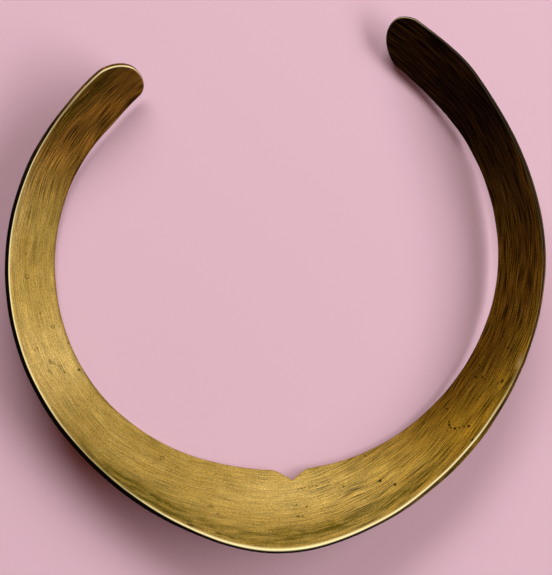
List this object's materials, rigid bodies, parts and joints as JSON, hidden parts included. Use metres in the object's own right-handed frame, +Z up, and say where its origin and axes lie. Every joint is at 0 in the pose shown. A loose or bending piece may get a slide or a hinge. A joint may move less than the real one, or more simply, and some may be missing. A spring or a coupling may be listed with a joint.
{
  "type": "neck collar",
  "caption": "Rigid open collar of sheet brass for the neck: a dished band, widest at the front, with two round-ended arms and a small V notch in the neck edge.",
  "frame": {"origin": "under the middle of the collar's outline, on the surface that its neck edge lies on", "axes": "+Z up out of the dish, from the neck edge to the rim; the wide front is at -Y, the opening between the arms at +Y"},
  "size_m": [0.1466, 0.1461, 0.0137],
  "materials": {
    "aged_brass": "aged brass, finely brushed along the band, mottled brown and olive patina, rim rubbed bright"
  },
  "bodies": {
    "root": {"collar_band": "aged_brass"}
  },
  "joints": []
}
